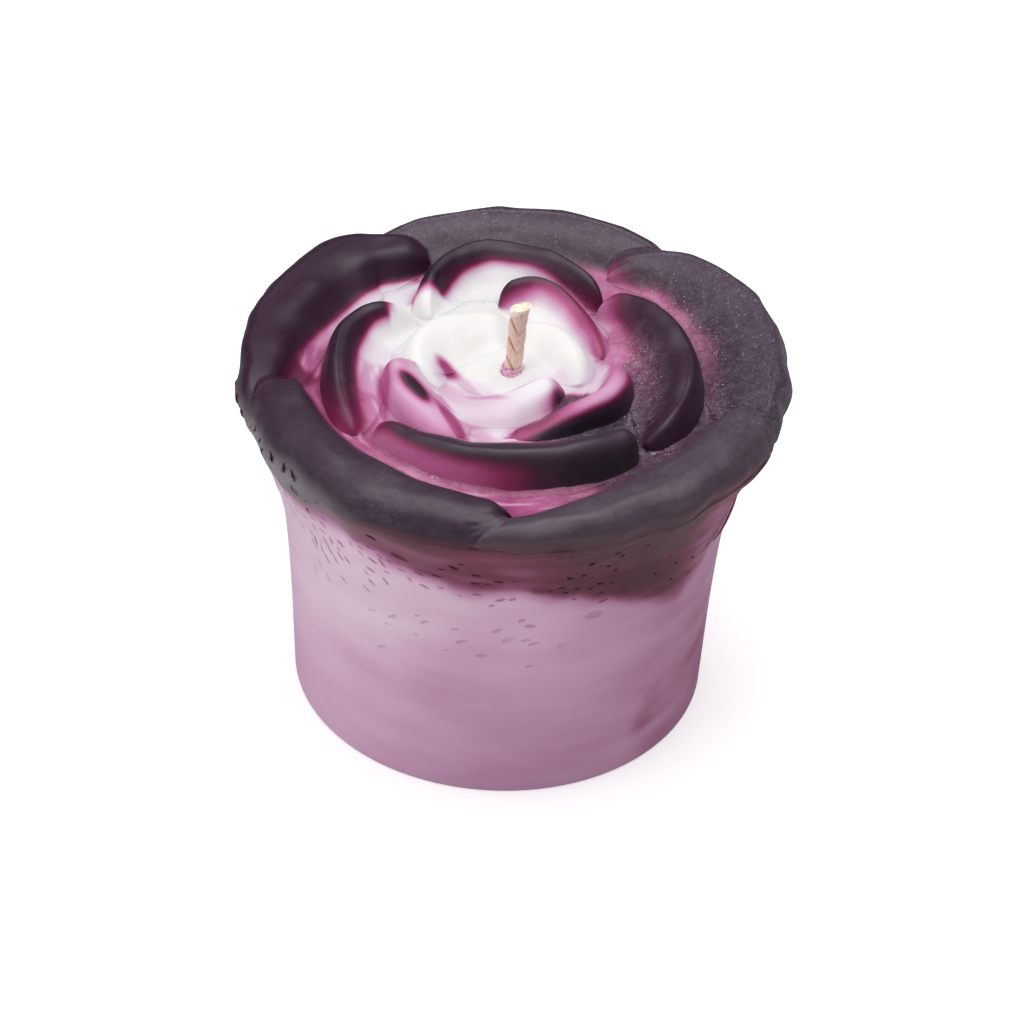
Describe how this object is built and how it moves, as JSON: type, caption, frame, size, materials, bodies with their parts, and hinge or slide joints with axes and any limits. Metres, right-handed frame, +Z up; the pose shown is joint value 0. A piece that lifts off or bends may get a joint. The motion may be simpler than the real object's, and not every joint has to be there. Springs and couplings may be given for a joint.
{
  "type": "flower candle",
  "caption": "Round wax candle that flares like a cup, with a rose of overlapping two-tone petals cast on its top and a braided cotton wick in the middle.",
  "frame": {"origin": "centre of the flat base, on the surface that the candle stands on", "axes": "+Z up along the candle's axis, -Y towards the viewer who sees the long front petals, +X to that viewer's right"},
  "size_m": [0.0783, 0.0769, 0.0641],
  "materials": {
    "lilac_wax": "satin translucent wax, faint level bands and small pits",
    "plum_wax": "satin wax, dusty, magenta where it thins",
    "magenta_wax": "satin wax",
    "white_wax": "smooth cream-white wax",
    "pink_wax": "satin wax",
    "cotton_wick": "waxed plaited cotton",
    "tinned_steel": "bright tin plate"
  },
  "bodies": {
    "root": {"lilac_body": "lilac_wax", "flower_base": "magenta_wax", "outer_petal_left": "plum_wax", "outer_petal_back": "plum_wax", "outer_petal_right": "plum_wax", "outer_petal_front_right": "plum_wax", "outer_petal_front_left": "plum_wax", "middle_petal_left": "plum_wax", "middle_petal_back": "plum_wax", "middle_petal_right": "plum_wax", "middle_petal_front": "plum_wax", "inner_petal_back": "magenta_wax", "inner_petal_left": "pink_wax", "inner_petal_right": "pink_wax", "heart_petal_left": "white_wax", "heart_petal_right": "white_wax", "heart_petal_front": "white_wax", "flower_heart": "white_wax", "wick": "cotton_wick", "wick_collar": "pink_wax", "wick_tab": "tinned_steel"}
  },
  "joints": []
}
